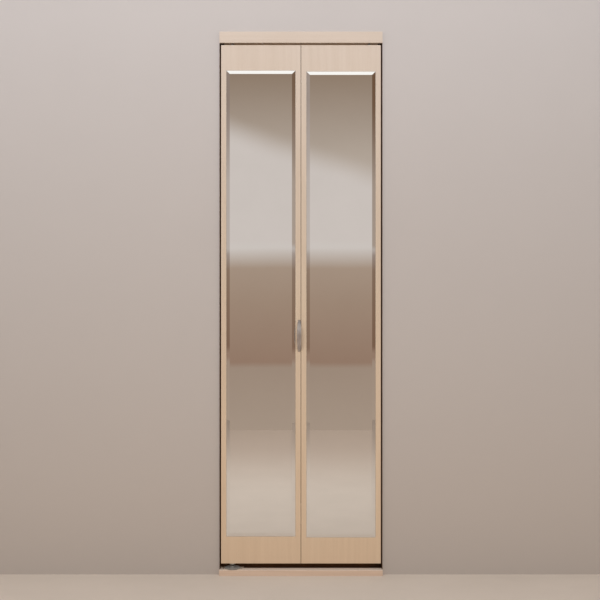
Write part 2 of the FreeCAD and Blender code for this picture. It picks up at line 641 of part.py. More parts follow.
# hinge screw holes in back skins and inner stiles
for tag, P, sg, x0 in (("left", L, -1, left_x0), ("right", R, 1, right_x0)):
    hx = seam_x + sg * hscrew_x
    b = P["back"]
    s = new_sketch(b, tag + "_hinge_holes", "XZ_Plane", skin_t)
    for hz in hinge_zs:
        for k in (-1, 0, 1):
            circle(s, hx - x0, hz + hscrew_z * k - pan_low, 1.9)
    if tag == "left":
        for k in (-1, 1):
            circle(s, pull_x - x0, pull_z + pull_bolt * k - pan_low, 4.2)
    pocket(b, s, 6, tag + "_hinge_hole_cut", reverse=False)
    b, sx0 = P["inner"]
    d = pan_t - skin_t * 2
    s = new_sketch(b, tag + "_hinge_pilots", "XZ_Plane", d)
    for hz in hinge_zs:
        for k in (-1, 0, 1):
            circle(s, hx - sx0, hz + hscrew_z * k - pan_low, 1.8)
    pocket(b, s, 17, tag + "_hinge_pilot_cut", reverse=False)

# through holes for the handle bolts
b, sx0 = L["inner"]
s = new_sketch(b, "handle_bolt_holes", "XZ_Plane", pan_t - skin_t * 2)
for k in (-1, 1):
    circle(s, pull_x - sx0, pull_z + pull_bolt * k - pan_low, 2.2)
pocket(b, s, 40, "handle_bolt_cut", reverse=False)
s = new_sketch(L["front"], "handle_front_holes", "XZ_Plane", skin_t)
for k in (-1, 1):
    circle(s, pull_x - left_x0, pull_z + pull_bolt * k - pan_low, 2.2)
pocket(L["front"], s, 10, "handle_front_cut", reverse=False)

# ---------------------------------------------------------------- bushes, sleeves, pins
bb = new_body("bottom_pivot_bush", piv_x, 0, 39.5)
revolve(bb, [(bush_bore, 0), (11.5, 0), (12, 0.5), (12, pan_low - 39.5), (bush_r, pan_low - 39.5), (bush_r, 43.3), (bush_bore, 43.3)],
        "bush_turned")


def sleeve(name, ax):
    b = new_body(name, ax, 0, sleeve_low)
    top = pan_top - sleeve_low
    revolve(b, [(0, 0), (bush_r, 0), (bush_r, top), (11, top), (11, top + 1.6), (10.6, top + 2), (bush_bore, top + 2), (bush_bore, top - 4),
                (5.3, top - 4), (5.3, 2), (0, 2)], name + "_turned")


sleeve("top_pivot_sleeve", piv_x)
sleeve("top_guide_sleeve", guide_x)

tp = new_body("top_pivot_pin", piv_x, 0, 1940)
revolve(tp, [(0, 0), (2.4, 0), (2.4, 35.5), (5.1, 35.5), (5.1, 38.5), (shank_r, 38.5), (shank_r, 70.0), (shank_r - 1.5, 71.5), (0, 71.5)],
        "pivot_pin_turned")
gp = new_body("top_guide_pin", guide_x, 0, 1940)
rl = roller_low - 1940
revolve(gp, [(0, 0), (2.4, 0), (2.4, 35.5), (5.1, 35.5), (5.1, 38.5), (shank_r, 38.5), (shank_r, rl - 1.0), (4.9, rl - 1.0), (4.9, rl - 0.2),
             (shank_r, rl - 0.2), (shank_r, rl + 7.2), (6.0, rl + 7.2), (6.0, rl + 8.8), (4.9, rl + 9.6), (0, rl + 9.6)], "guide_pin_turned")
ro_b = new_body("top_guide_roller", guide_x, 0, roller_low)
revolve(ro_b, [(bush_bore, 0), (roller_r - 0.8, 0), (roller_r, 0.8), (roller_r, roller_h - 0.8), (roller_r - 0.8, roller_h), (6.4, roller_h),
               (6.4, 7.0), (bush_bore, 7.0)], "roller_turned")


def spring(name, ax):
    """Compression spring round the tail of a top pin, ends not ground."""
    z0, z1 = sleeve_low.v + 2 + 0.6, 1940 + 35.5 - 0.6
    wire_r, mean_r, turns = 0.5, 3.6, 10.0
    hx = Part.makeHelix((z1 - z0) / turns, z1 - z0, mean_r)
    prof = Part.Wire([Part.Circle(Vector(mean_r, 0, 0), Vector(0, 1, 0), wire_r).toShape()])
    sw = Part.Wire(hx.Edges).makePipeShell([prof], True, True)
    sw = sw if sw.ShapeType == "Solid" else Part.Solid(sw)
    feature(name, sw, (ax.v, 0, z0))


spring("top_pivot_spring", piv_x)
spring("top_guide_spring", guide_x)


# ---------------------------------------------------------------- hinges
def knuckle_spans(mine):
    seg = leaf_h / 5
    return [(seg * i + 0.1, seg * (i + 1) - 0.1) for i in mine]


def leaf(name, sg, hz, mine):
    """One leaf of a butt hinge: its own origin is on the hinge axis at the lower end."""
    b = new_body(name, seam_x, fold_y, hz - leaf_h / 2)
    back = half_t - fold_y
    keep = knuckle_r + knuckle_clear
    spans = knuckle_spans(mine)
    x_in, x_tab = sg * keep, sg * q(1.2)
    # square notches between the tabs
    full = [(sg * leaf_w, q(0)), (sg * leaf_w, leaf_h)]
    full.append((x_in, leaf_h))
    for z0, z1 in reversed(spans):
        full += [(x_in, z1), (x_tab, z1), (x_tab, z0), (x_in, z0)]
    full.append((x_in, q(0)))
    s = new_sketch(b, name + "_plate_outline", "XZ_Plane", back + leaf_t)
    poly(s, full)
    pad(b, s, leaf_t, name + "_plate", reverse=False)
    for i, (z0, z1) in enumerate(spans):
        s = new_sketch(b, name + "_knuckle_%d" % i, "XY_Plane", z0)
        circle(s, 0, 0, knuckle_r)
        pad(b, s, z1 - z0, name + "_knuckle_pad_%d" % i)
    s = new_sketch(b, name + "_bore", "XY_Plane", 0)
    circle(s, 0, 0, knuckle_bore)
    pocket(b, s, None, name + "_bore_cut")
    s = new_sketch(b, name + "_screw_holes", "XZ_Plane", back + leaf_t)
    for k in (-1, 0, 1):
        circle(s, sg * hscrew_x, leaf_h / 2 + hscrew_z * k, 2.0)
    p = pocket(b, s, None, name + "_screw_cut")
    doc.recompute()
    # countersinks on the face that looks away from the panel
    yy = (back + leaf_t).v
    ce = ["Edge%d" % (i + 1) for i, e in enumerate(p.Shape.Edges)
          if hasattr(e.Curve, "Radius") and abs(e.Curve.Radius - 2.0) < 1e-4 and abs(e.BoundBox.YMin - yy) < 1e-4
          and e.BoundBox.YLength < 1e-4]
    chamfer(b, p, ce, 1.55, name + "_countersinks")
    return b


for nm, hz in (("bottom", hinge_z1), ("middle", hinge_z2), ("top", hinge_z3)):
    leaf("hinge_leaf_left_" + nm, -1, hz, (0, 2, 4))
    leaf("hinge_leaf_right_" + nm, 1, hz, (1, 3))

pins = []
for hz in hinge_zs:
    z0 = hz.v - leaf_h.v / 2
    w = Part.makePolygon([Vector(a, 0, c) for a, c in
                          [(0, -1.5), (2.2, -1.5), (3.0, -0.8), (3.0, -0.1), (hpin_r.v, -0.1), (hpin_r.v, 76.1), (3.0, 76.1), (3.0, 76.8),
                           (2.2, 77.5), (0, 77.5), (0, -1.5)]])
    p = Part.Face(w).revolve(Vector(0, 0, 0), Vector(0, 0, 1), 360)
    p = p if p.ShapeType == "Solid" else Part.Solid(p)
    p.Placement = Placement(Vector(seam_x.v, fold_y.v, z0), Rotation())
    pins.append(p)
feature("hinge_pins", Part.makeCompound(pins))

hsc = screw(3.3, 1.65, 1.7, 18.0, flat=True)
for tag, sg in (("left", -1), ("right", 1)):
    feature("hinge_screws_" + tag, Part.makeCompound(
        [placed(hsc, seam_x.v + sg * hscrew_x.v, half_t.v + leaf_t.v, hz.v + k * hscrew_z.v, (0, 1, 0))
         for hz in hinge_zs for k in (-1, 0, 1)]))

# ---------------------------------------------------------------- pull handle
# bow in side view, then trimmed to a lens in front view
hb = new_body("pull_handle", pull_x, -half_t, pull_z)
s = new_sketch(hb, "bow_side_view", "YZ_Plane")
e, f = pull_l / 2, pull_l / 2 - 15
i1 = s.addGeometry(Part.Arc(Vector(0, -e.v, 0), Vector(-pull_out.v, 0, 0), Vector(0, e.v, 0)), False)
i2 = s.addGeometry(Part.Arc(Vector(0, -f.v, 0), Vector(-(pull_out - pull_t).v, 0, 0), Vector(0, f.v, 0)), False)
i3 = s.addGeometry(Part.LineSegment(Vector(0, e.v, 0), Vector(0, f.v, 0)), False)
i4 = s.addGeometry(Part.LineSegment(Vector(0, -e.v, 0), Vector(0, -f.v, 0)), False)


def ends(g, want):
    """Which of the two end points of a curve lies at the wanted height."""
    p1 = s.getPoint(g, 1)
    return 1 if abs(p1.y - want) < 1e-3 else 2


for (ga, wa, gb) in ((i1, e.v, i3), (i1, -e.v, i4), (i2, f.v, i3), (i2, -f.v, i4)):
    s.addConstraint(Sketcher.Constraint("Coincident", ga, ends(ga, wa), gb, ends(gb, wa)))
fix_point(s, i3, ends(i3, e.v), 0, e)
fix_point(s, i3, ends(i3, f.v), 0, f)
fix_point(s, i4, ends(i4, -e.v), 0, -e)
fix_point(s, i4, ends(i4, -f.v), 0, -f)
r1 = (e * e + pull_out * pull_out) / (pull_out * 2)
r2 = (f * f + (pull_out - pull_t) * (pull_out - pull_t)) / ((pull_out - pull_t) * 2)
for g, r in ((i1, r1), (i2, r2)):
    c = s.addConstraint(Sketcher.Constraint("Radius", g, r.v))
    s.renameConstraint(c, "bow%d" % g)
    s.setExpression("Constraints.bow%d" % g, r.s)
hp = pad(hb, s, pull_w, "bow_pad", mid=True)
s = new_sketch(hb, "lens_trim", "XZ_Plane")
hwd, ewd = pull_w / 2, q(4.2)
# straight-sided lens: half width at the middle, at the feet and at the blunt ends
lens = []
n = 10
for i in range(n + 1):
    t = -1 + 2.0 * i / n
    wv = 4.2 + (pull_w.v / 2 - 4.2) * (1 - t * t) ** 0.8
    lens.append((wv, pull_l.v / 2 * t))
outer = [(-20, -80), (20, -80), (20, 80), (-20, 80)]
poly(s, outer)
inner = [(pull_w / 2 * (w / (pull_w.v / 2)), pull_l * (zz / pull_l.v)) for w, zz in lens]
inner = inner + [(-a, c) for a, c in reversed(inner)]
poly(s, inner)
tr = pocket(hb, s, None, "lens_cut")
s = new_sketch(hb, "handle_bolt_threads", "XZ_Plane")
for k in (-1, 1):
    circle(s, 0, pull_bolt * k, 1.7)
pocket(hb, s, 4.6, "handle_thread_cut", reverse=True)

bolts = []
bolt = screw(3.9, 2.2, 1.65, 28.6 - 3.0 + 4.3)
for k in (-1, 1):
    bolts.append(placed(bolt, pull_x.v, half_t.v - skin_t.v, pull_z.v + k * pull_bolt.v, (0, 1, 0)))
feature("handle_bolts", Part.makeCompound(bolts))

# ---------------------------------------------------------------- check and write
doc.recompute()
bad = []
for o in doc.Objects:
    if any(w in str(st_) for st_ in o.State for w in ("Invalid", "Error")):
        bad.append((o.Name, list(o.State)))
for o in subparts:
    if o.Shape.isNull() or not o.Shape.isValid() or not o.Shape.Solids:
        bad.append((o.Label, "shape"))
if bad:
    raise RuntimeError("failed objects: %s" % bad)
if len(set(o.Label for o in subparts)) != len(subparts) or len(subparts) > 60:
    raise RuntimeError("sub-part names or count: %d" % len(subparts))
os.makedirs("parts", exist_ok=True)
for o in subparts:
    o.Shape.exportStep("parts/%s.step" % o.Label)
print("sub-parts written:", len(subparts))
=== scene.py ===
import json
import math
import bpy
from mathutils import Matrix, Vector

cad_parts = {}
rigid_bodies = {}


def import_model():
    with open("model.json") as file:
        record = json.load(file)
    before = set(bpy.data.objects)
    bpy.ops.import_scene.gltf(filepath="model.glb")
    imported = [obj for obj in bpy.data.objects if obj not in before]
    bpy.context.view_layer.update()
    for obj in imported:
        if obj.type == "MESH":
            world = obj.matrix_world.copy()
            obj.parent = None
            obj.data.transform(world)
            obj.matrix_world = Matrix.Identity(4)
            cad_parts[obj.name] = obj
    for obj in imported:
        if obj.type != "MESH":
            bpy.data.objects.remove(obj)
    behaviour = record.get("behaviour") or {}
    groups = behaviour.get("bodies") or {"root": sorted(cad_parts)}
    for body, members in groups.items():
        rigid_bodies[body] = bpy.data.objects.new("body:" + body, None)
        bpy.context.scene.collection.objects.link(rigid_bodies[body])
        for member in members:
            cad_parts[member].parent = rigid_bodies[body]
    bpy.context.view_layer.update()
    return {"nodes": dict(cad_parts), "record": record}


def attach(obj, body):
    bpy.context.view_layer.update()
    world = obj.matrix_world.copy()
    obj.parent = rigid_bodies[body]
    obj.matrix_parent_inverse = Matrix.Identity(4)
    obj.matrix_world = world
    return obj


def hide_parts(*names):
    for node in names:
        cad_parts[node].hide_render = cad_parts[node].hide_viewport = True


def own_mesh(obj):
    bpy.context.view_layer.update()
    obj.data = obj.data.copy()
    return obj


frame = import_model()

scene = bpy.context.scene
N = frame["nodes"]

# ------------------------------------------------------------------ colour helpers
def lin(c):
    """sRGB 0-255 to linear."""
    out = []
    for v in c[:3]:
        v = v / 255.0
        out.append(v / 12.92 if v <= 0.04045 else ((v + 0.055) / 1.055) ** 2.4)
    return (out[0], out[1], out[2], 1.0)


class Tree:
    """Small helper round a material's node tree."""

    def __init__(self, name):
        self.mat = bpy.data.materials.new(name)
        self.mat.use_nodes = True
        self.nt = self.mat.node_tree
        self.nt.nodes.clear()
        self.out = self.nt.nodes.new("ShaderNodeOutputMaterial")
        self.p = self.nt.nodes.new("ShaderNodeBsdfPrincipled")
        self.nt.links.new(self.p.outputs[0], self.out.inputs["Surface"])

    def new(self, kind, **kw):
        n = self.nt.nodes.new(kind)
        for k, v in kw.items():
            setattr(n, k, v)
        return n

    def link(self, a, b):
        self.nt.links.new(a, b)

    def setp(self, **kw):
        for k, v in kw.items():
            self.p.inputs[k.replace("_", " ")].default_value = v

    def coords(self, scale=(1, 1, 1), loc=(0, 0, 0), rot=(0, 0, 0)):
        tc = self.new("ShaderNodeTexCoord")
        mp = self.new("ShaderNodeMapping")
        mp.inputs["Location"].default_value = loc
        mp.inputs["Rotation"].default_value = rot
        mp.inputs["Scale"].default_value = scale
        self.link(tc.outputs["Object"], mp.inputs["Vector"])
        return mp.outputs["Vector"]

    def noise(self, vec, scale=1.0, detail=3.0, rough=0.5, dist=0.0):
        n = self.new("ShaderNodeTexNoise")
        n.inputs["Scale"].default_value = scale
        n.inputs["Detail"].default_value = detail
        n.inputs["Roughness"].default_value = rough
        n.inputs["Distortion"].default_value = dist
        self.link(vec, n.inputs["Vector"])
        return n.outputs["Fac"]

    def ramp(self, fac, stops, interp="LINEAR"):
        r = self.new("ShaderNodeValToRGB")
        cr = r.color_ramp
        cr.interpolation = interp
        while len(cr.elements) > 1:
            cr.elements.remove(cr.elements[-1])
        cr.elements[0].position = stops[0][0]
        cr.elements[0].color = stops[0][1]
        for pos, col in stops[1:]:
            e = cr.elements.new(pos)
            e.color = col
        self.link(fac, r.inputs["Fac"])
        return r.outputs["Color"]

    def math(self, op, a, b=None, c=None, clamp=False):
        m = self.new("ShaderNodeMath", operation=op)
        m.use_clamp = clamp
        for i, v in enumerate((a, b, c)):
            if v is None:
                continue
            if isinstance(v, (int, float)):
                m.inputs[i].default_value = v
            else:
                self.link(v, m.inputs[i])
        return m.outputs[0]

    def mix(self, fac, a, b, blend="MIX"):
        m = self.new("ShaderNodeMix", data_type="RGBA", blend_type=blend)
        m.clamp_factor = True
        for sock, v in ((m.inputs[0], fac), (m.inputs[6], a), (m.inputs[7], b)):
            if isinstance(v, (int, float)):
                sock.default_value = v
            elif isinstance(v, tuple):
                sock.default_value = v
            else:
                self.link(v, sock)
        return m.outputs[2]

    def remap(self, v, a, b, c, d, smooth=False):
        m = self.new("ShaderNodeMapRange")
        m.interpolation_type = "SMOOTHSTEP" if smooth else "LINEAR"
        m.inputs["From Min"].default_value = a
        m.inputs["From Max"].default_value = b
        m.inputs["To Min"].default_value = c
        m.inputs["To Max"].default_value = d
        self.link(v, m.inputs["Value"])
        return m.outputs["Result"]

    def tone(self, col):
        """Painted light by height: the colour is tinted cooler and paler at the head and clearly warmer and darker at
        the floor, standing in for the light from above and the warm bounce from the floor.
        """
        tc = self.new("ShaderNodeTexCoord")
        sp = self.new("ShaderNodeSeparateXYZ")
        self.link(tc.outputs["Object"], sp.inputs[0])
        f = self.remap(sp.outputs["Z"], 0.0, 2.03, 0.0, 1.0)
        tint = self.ramp(f, [(0.0, (0.968, 0.878, 0.808, 1)), (0.5, (0.965, 0.94, 0.95, 1)), (1.0, (0.982, 1.025, 1.19, 1))])
        return self.mix(1.0, col, tint, "MULTIPLY")

    def bump(self, height, strength, distance, after=None):
        b = self.new("ShaderNodeBump")
        b.inputs["Strength"].default_value = strength
        b.inputs["Distance"].default_value = distance
        self.link(height, b.inputs["Height"])
        if after is not None:
            self.link(after, b.inputs["Normal"])
        return b.outputs["Normal"]


def g(v):
    return (v, v, v, 1.0)


# ------------------------------------------------------------------ materials
def veneer(name, grain="Z", offset=(0, 0, 0), light=(226, 206, 180), dark=(216, 193, 165), rough=0.40, figure=0.45, sheen=0.24):
    """Pale satin veneer. The grain runs along Z or along X."""
    t = Tree(name)
    rot = (0, 0, 0) if grain == "Z" else (0, math.radians(90), 0)
    base = t.coords((1, 1, 1), offset, rot)

    def stretch(sx, sz):
        m = t.new("ShaderNodeMapping")
        m.inputs["Scale"].default_value = (sx, sx, sz)
        t.link(base, m.inputs["Vector"])
        return m.outputs["Vector"]

    broad = t.noise(stretch(5.0, 0.5), 1.0, 2.0, 0.5)
    streak = t.noise(stretch(85.0, 1.3), 1.0, 5.0, 0.6, 0.2)
    fibre = t.noise(stretch(760.0, 9.0), 1.0, 3.0, 0.6)
    # cathedral figure: rings cut at a shallow angle
    warp = t.noise(stretch(3.0, 0.42), 1.0, 1.5, 0.4)
    sep = t.new("ShaderNodeSeparateXYZ")
    t.link(base, sep.inputs[0])
    ring = t.math("MULTIPLY_ADD", warp, 34.0, t.math("MULTIPLY", sep.outputs["X"], 46.0))
    ring = t.math("SINE", t.math("MULTIPLY", ring, 2.6))
    ring = t.remap(ring, -1.0, 1.0, 0.0, 1.0)
    ring = t.math("POWER", ring, 2.4)
    # short pores and rays
    pore = t.noise(stretch(1100.0, 46.0), 1.0, 1.0, 0.5)
    pore = t.remap(pore, 0.66, 0.74, 0.0, 1.0, True)
    ray = t.noise(stretch(340.0, 130.0), 1.0, 1.0, 0.5)
    ray = t.remap(ray, 0.68, 0.76, 0.0, 1.0, True)
    tone = t.math("MULTIPLY_ADD", streak, 0.8, t.math("MULTIPLY", broad, 0.35))
    tone = t.math("MULTIPLY_ADD", fibre, 0.45, tone)
    tone = t.remap(tone, 0.60, 1.02, 0.0, 1.0)
    mid = [(p + q) / 2 for p, q in zip(light, dark)]
    col = t.ramp(tone, [(0.0, lin(dark)), (0.5, lin(mid)), (1.0, lin(light))])
    col = t.mix(t.math("MULTIPLY", ring, 0.22 * figure), col, lin([v * w for v, w in zip(dark, (0.92, 0.90, 0.87))]))
    col = t.mix(t.math("MULTIPLY", pore, 0.20), col, lin([v * w for v, w in zip(dark, (0.84, 0.80, 0.74))]))
    col = t.mix(t.math("MULTIPLY", ray, 0.12), col, lin([min(255, v * 1.05) for v in light]))
    # painted light: the wood is tinted cooler and paler at the head, warmer and darker towards the floor
    col = t.tone(col)
    t.link(col, t.p.inputs["Base Color"])
    r = t.math("MULTIPLY_ADD", fibre, 0.14, rough - 0.07)
    r = t.math("MULTIPLY_ADD", pore, 0.12, r)
    t.link(r, t.p.inputs["Roughness"])
    h = t.math("MULTIPLY_ADD", fibre, 0.5, t.math("MULTIPLY", streak, 0.25))
    h = t.math("MULTIPLY_ADD", pore, -0.6, h)
    t.link(t.bump(h, 0.20, 0.0002), t.p.inputs["Normal"])
    t.p.inputs["Specular IOR Level"].default_value = 0.45
    t.p.inputs["Coat Weight"].default_value = sheen
    t.p.inputs["Coat Roughness"].default_value = 0.30
    return t.mat


def raw_wood(name, light, dark, offset=(0, 0, 0), rough=0.62, grain="Z"):
    m = veneer(name, grain, offset, light, dark, rough, 1.5)
    p = [n for n in m.node_tree.nodes if n.type == "BSDF_PRINCIPLED"][0]
    p.inputs["Coat Weight"].default_value = 0.0
    p.inputs["Specular IOR Level"].default_value = 0.3
    return m


def board(name):
    """Particle core: small chips."""
    t = Tree(name)
    v = t.coords((1, 1, 1))
    vor = t.new("ShaderNodeTexVoronoi")
    vor.inputs["Scale"].default_value = 420.0
    t.link(v, vor.inputs["Vector"])
    n = t.noise(v, 160.0, 4.0, 0.6)
    f = t.math("MULTIPLY_ADD", n, 0.5, t.math("MULTIPLY", vor.outputs["Distance"], 0.9))
    col = t.ramp(f, [(0.1, lin((120, 92, 62))), (0.5, lin((168, 138, 100))), (0.9, lin((196, 170, 132)))])
    t.link(col, t.p.inputs["Base Color"])
    t.setp(Roughness=0.85)
    t.link(t.bump(f, 0.3, 0.0004), t.p.inputs["Normal"])
    return t.mat


def metal(name, tint, rough=0.32, streak_axis=None, streak_scale=600.0, wear=0.15, dark=0.75, metallic=1.0, bump=0.03):
    """Plated or brushed metal with soft cloudiness, fine scratches and a little dulling."""
    t = Tree(name)
    v = t.coords((1, 1, 1))
    cloud = t.noise(v, 45.0, 4.0, 0.6)
    if streak_axis is not None:
        s = [streak_scale] * 3
        s[streak_axis] = streak_scale * 0.02
        mp = t.new("ShaderNodeMapping")
        mp.inputs["Scale"].default_value = s
        t.link(v, mp.inputs["Vector"])
        line = t.noise(mp.outputs["Vector"], 1.0, 3.0, 0.65)
    else:
        line = t.noise(v, streak_scale, 3.0, 0.65)
    f = t.math("MULTIPLY_ADD", cloud, 0.55, t.math("MULTIPLY", line, 0.45))
    col = t.ramp(f, [(0.25, lin([c * dark for c in tint])), (0.75, lin(tint))])
    t.link(col, t.p.inputs["Base Color"])
    t.p.inputs["Metallic"].default_value = metallic
    r = t.math("MULTIPLY_ADD", line, 0.20, rough - 0.10)
    r = t.math("MULTIPLY_ADD", cloud, wear, r)
    t.link(r, t.p.inputs["Roughness"])
    t.link(t.bump(line, bump * 3, 0.00008), t.p.inputs["Normal"])
    return t.mat


def bronze(name, light=(70, 51, 35), dark=(54, 38, 25)):
    """Bronze powder coat, satin, with a fine orange peel and rubbed spots."""
    t = Tree(name)
    v = t.coords((1, 1, 1))
    peel = t.noise(v, 900.0, 2.0, 0.5)
    cloud = t.noise(v, 14.0, 4.0, 0.6)
    rub = t.remap(t.noise(v, 60.0, 5.0, 0.7), 0.62, 0.72, 0.0, 1.0, True)
    col = t.ramp(cloud, [(0.25, lin(dark)), (0.75, lin(light))])
    col = t.mix(t.math("MULTIPLY", rub, 0.25), col, lin([v2 * 1.25 for v2 in light]))
    t.link(col, t.p.inputs["Base Color"])
    t.p.inputs["Metallic"].default_value = 0.15
    r = t.math("MULTIPLY_ADD", cloud, 0.16, 0.38)
    t.link(t.math("MULTIPLY_ADD", rub, -0.08, r), t.p.inputs["Roughness"])
    t.link(t.bump(peel, 0.12, 0.0001), t.p.inputs["Normal"])
    return t.mat


def plastic(name, tint, rough=0.45, sss=0.0):
    t = Tree(name)
    v = t.coords((1, 1, 1))
    n = t.noise(v, 260.0, 3.0, 0.55)
    fine = t.noise(v, 1600.0, 2.0, 0.5)
    col = t.ramp(n, [(0.2, lin([c * 0.93 for c in tint])), (0.8, lin(tint))])
    t.link(col, t.p.inputs["Base Color"])
    t.link(t.math("MULTIPLY_ADD", n, 0.14, rough - 0.07), t.p.inputs["Roughness"])
    t.link(t.bump(fine, 0.08, 0.00008), t.p.inputs["Normal"])
    return t.mat


def mirror(name, edge_y):
    """Silvered glass: the ground edge below the bevel shows the glass's green body."""
    t = Tree(name)
    v = t.coords((1, 1, 1))
    sep = t.new("ShaderNodeSeparateXYZ")
    t.link(v, sep.inputs[0])
    edge = t.remap(sep.outputs["Y"], edge_y - 0.0001, edge_y + 0.0001, 0.0, 1.0)
    haze = t.noise(v, 9.0, 5.0, 0.6)
    smear = t.new("ShaderNodeMapping")
    smear.inputs["Scale"].default_value = (6.0, 6.0, 1.2)
    smear.inputs["Rotation"].default_value = (0, math.radians(24), 0)
    t.link(v, smear.inputs["Vector"])
    wipe = t.noise(smear.outputs["Vector"], 2.0, 6.0, 0.62)
    col = t.ramp(haze, [(0.2, (0.90, 0.90, 0.885, 1)), (0.8, (0.93, 0.93, 0.915, 1))])
    col = t.mix(edge, col, lin((92, 120, 104)))
    t.link(col, t.p.inputs["Base Color"])
    t.link(t.math("SUBTRACT", 1.0, t.math("MULTIPLY", edge, 0.75)), t.p.inputs["Metallic"])
    r = t.remap(wipe, 0.35, 0.75, 0.004, 0.022)
    t.link(t.math("MULTIPLY_ADD", edge, 0.30, r), t.p.inputs["Roughness"])
    return t.mat


M = {}
WL, WD = (220, 201, 176), (214, 194, 168)
M["front_l"] = veneer("veneer_left_front", "Z", (0.37, 0.1, 0.2), WL, WD)
M["front_r"] = veneer("veneer_right_front", "Z", (1.53, 0.4, 0.7), WL, WD)
M["back_l"] = veneer("veneer_left_back", "Z", (2.7, 0.6, 0.3), WL, WD)
M["back_r"] = veneer("veneer_right_back", "Z", (3.9, 0.8, 1.1), WL, WD)
M["fascia"] = veneer("veneer_fascia", "X", (0.2, 5.3, 0.0), WL, WD)
M["sill"] = veneer("veneer_sill", "X", (1.1, 7.1, 0.4), (222, 204, 188), (211, 191, 173))
nt = M["sill"].node_tree
# the top arris and top face of the sill are screened a little paler: painted light, as if lit from above
p_sill = [n for n in nt.nodes if n.type == "BSDF_PRINCIPLED"][0]
tc = nt.nodes.new("ShaderNodeTexCoord")
sp = nt.nodes.new("ShaderNodeSeparateXYZ")
nt.links.new(tc.outputs["Object"], sp.inputs[0])
up_face = nt.nodes.new("ShaderNodeMapRange")
up_face.inputs["From Min"].default_value = 0.0203
up_face.inputs["From Max"].default_value = 0.0207
up_face.inputs["To Max"].default_value = 1.0
nt.links.new(sp.outputs["Z"], up_face.inputs["Value"])
sill_top_painted_light = nt.nodes.new("ShaderNodeMix")
sill_top_painted_light.data_type = "RGBA"
sill_top_painted_light.blend_type = "SCREEN"
sill_top_painted_light.inputs[7].default_value = (0.34, 0.30, 0.25, 1.0)
nt.links.new(up_face.outputs["Result"], sill_top_painted_light.inputs[0])
old = p_sill.inputs["Base Color"].links[0].from_socket
nt.links.new(old, sill_top_painted_light.inputs[6])
nt.links.new(sill_top_painted_light.outputs[2], p_sill.inputs["Base Color"])
p_sill.inputs["Coat Weight"].default_value = 0.04
p_sill.inputs["Specular IOR Level"].default_value = 0.25
M["stile_l"] = raw_wood("edge_lipping_left", (224, 203, 175), (211, 188, 158), (0.9, 3.1, 0.5), 0.5)
M["stile_r"] = raw_wood("edge_lipping_right", (224, 203, 175), (211, 188, 158), (1.9, 2.1, 0.9), 0.5)
M["rail"] = raw_wood("rail_pine", (226, 202, 162), (206, 176, 134), (0.3, 4.1, 0.1), 0.6, "X")
M["core"] = board("particle_core")
M["dowel"] = raw_wood("beech_dowel", (206, 174, 136), (186, 150, 112), (4.3, 1.1, 0.5), 0.6, "X")
M["mirror"] = mirror("silvered_mirror", -0.0141)
M["mastic"] = plastic("mirror_mastic", (70, 70, 68), 0.7)
M["bronze"] = bronze("dark_bronze_coat", (88, 56, 28), (66, 40, 18))
[n for n in M["bronze"].node_tree.nodes if n.type == "BSDF_PRINCIPLED"][0].inputs["Specular IOR Level"].default_value = 0.28
M["head"] = veneer("veneer_head_channel", "X", (2.2, 9.3, 0.0), (228, 200, 164), (216, 186, 148))
M["enamel"] = plastic("sand_enamel", (224, 203, 184), 0.5)
[n for n in M["enamel"].node_tree.nodes if n.type == "BSDF_PRINCIPLED"][0].inputs["Specular IOR Level"].default_value = 0.2
M["track"] = metal("zinc_track", (180, 162, 134), 0.42, 0, 500.0)
M["zinc"] = metal("zinc_turned", (196, 198, 200), 0.30, None, 700.0)
M["wheel"] = metal("adjuster_zinc", (178, 174, 168), 0.42, None, 500.0, 0.2, 0.70, 0.45)
[n for n in M["wheel"].node_tree.nodes if n.type == "BSDF_PRINCIPLED"][0].inputs["Specular IOR Level"].default_value = 0.2
M["stud"] = metal("stud_steel", (128, 120, 112), 0.40, None, 700.0, 0.2, 0.7, 0.6)
M["screw"] = metal("screw_zinc", (190, 188, 180), 0.30, None, 900.0)
M["hinge"] = metal("satin_hinge", (200, 194, 182), 0.36, 2, 700.0, 0.10, 0.88, 0.6)
M["pull"] = metal("satin_nickel_pull", (208, 200, 196), 0.42, 2, 800.0, 0.10, 0.86, 1.0, 0.02)
M["spring"] = metal("spring_wire", (150, 150, 150), 0.35)
M["nylon"] = plastic("natural_nylon", (222, 218, 206), 0.42)

